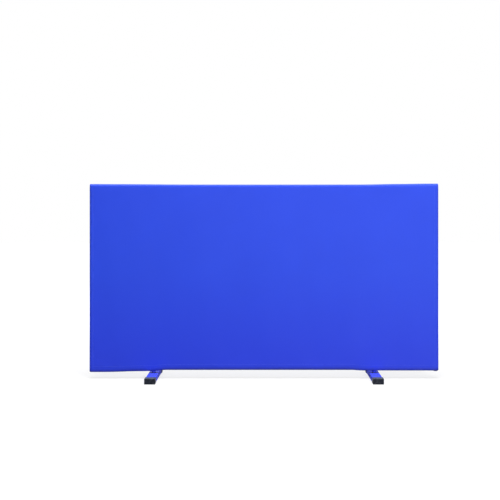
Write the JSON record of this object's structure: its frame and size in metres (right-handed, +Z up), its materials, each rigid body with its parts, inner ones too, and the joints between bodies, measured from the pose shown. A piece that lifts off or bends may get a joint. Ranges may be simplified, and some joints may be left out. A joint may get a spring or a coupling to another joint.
{
  "type": "table tennis barrier",
  "caption": "Long low court barrier: a round tube frame under a lift-off blue cloth sleeve, on flat feet that turn on wing-nut bolts.",
  "frame": {"origin": "on the floor, under the middle of the barrier", "axes": "+X along the barrier to its right end seen from the front, +Y from front to back along the feet, +Z up"},
  "size_m": [1.4, 0.3, 0.7771],
  "materials": {
    "blue_powder_coat": "satin powder coat on steel tube",
    "blue_cover_cloth": "smooth woven cloth, matt to satin",
    "black_plastic": "moulded black",
    "zinc_plate": "bright zinc plate"
  },
  "bodies": {
    "frame": {"left_upright": "blue_powder_coat", "right_upright": "blue_powder_coat", "top_rail": "blue_powder_coat", "bottom_rail": "blue_powder_coat", "left_pivot_boss": "blue_powder_coat", "right_pivot_boss": "blue_powder_coat", "left_upright_plug": "black_plastic", "right_upright_plug": "black_plastic", "left_saddle_washer": "black_plastic", "right_saddle_washer": "black_plastic"},
    "left_foot": {"left_foot_tube": "blue_powder_coat", "left_front_cap": "black_plastic", "left_rear_cap": "black_plastic", "left_bolt": "zinc_plate", "left_pivot_washer": "black_plastic"},
    "right_foot": {"right_foot_tube": "blue_powder_coat", "right_front_cap": "black_plastic", "right_rear_cap": "black_plastic", "right_bolt": "zinc_plate", "right_pivot_washer": "black_plastic"},
    "left_wing_nut": {"left_wing_nut": "zinc_plate"},
    "right_wing_nut": {"right_wing_nut": "zinc_plate"},
    "cover": {"cover_front_panel": "blue_cover_cloth", "cover_back_panel": "blue_cover_cloth", "cover_top_fold": "blue_cover_cloth", "cover_left_end": "blue_cover_cloth", "cover_right_end": "blue_cover_cloth"}
  },
  "joints": [
    {"name": "left_foot_swivel", "type": "hinge", "parent": "frame", "child": "left_foot", "pos_m": [-0.443, 0, 0.0215], "axis": [0, 0, 1], "continuous": true},
    {"name": "right_foot_swivel", "type": "hinge", "parent": "frame", "child": "right_foot", "pos_m": [0.443, 0, 0.0215], "axis": [0, 0, 1], "continuous": true},
    {"name": "left_wing_nut_turn", "type": "hinge", "parent": "left_foot", "child": "left_wing_nut", "pos_m": [-0.443, 0, 0.0541], "axis": [0, 0, 1], "continuous": true},
    {"name": "right_wing_nut_turn", "type": "hinge", "parent": "right_foot", "child": "right_wing_nut", "pos_m": [0.443, 0, 0.0541], "axis": [0, 0, 1], "continuous": true},
    {"name": "cover_lift", "type": "slide", "parent": "frame", "child": "cover", "axis": [0, 0, 1], "range_m": [0, 0.77]}
  ]
}
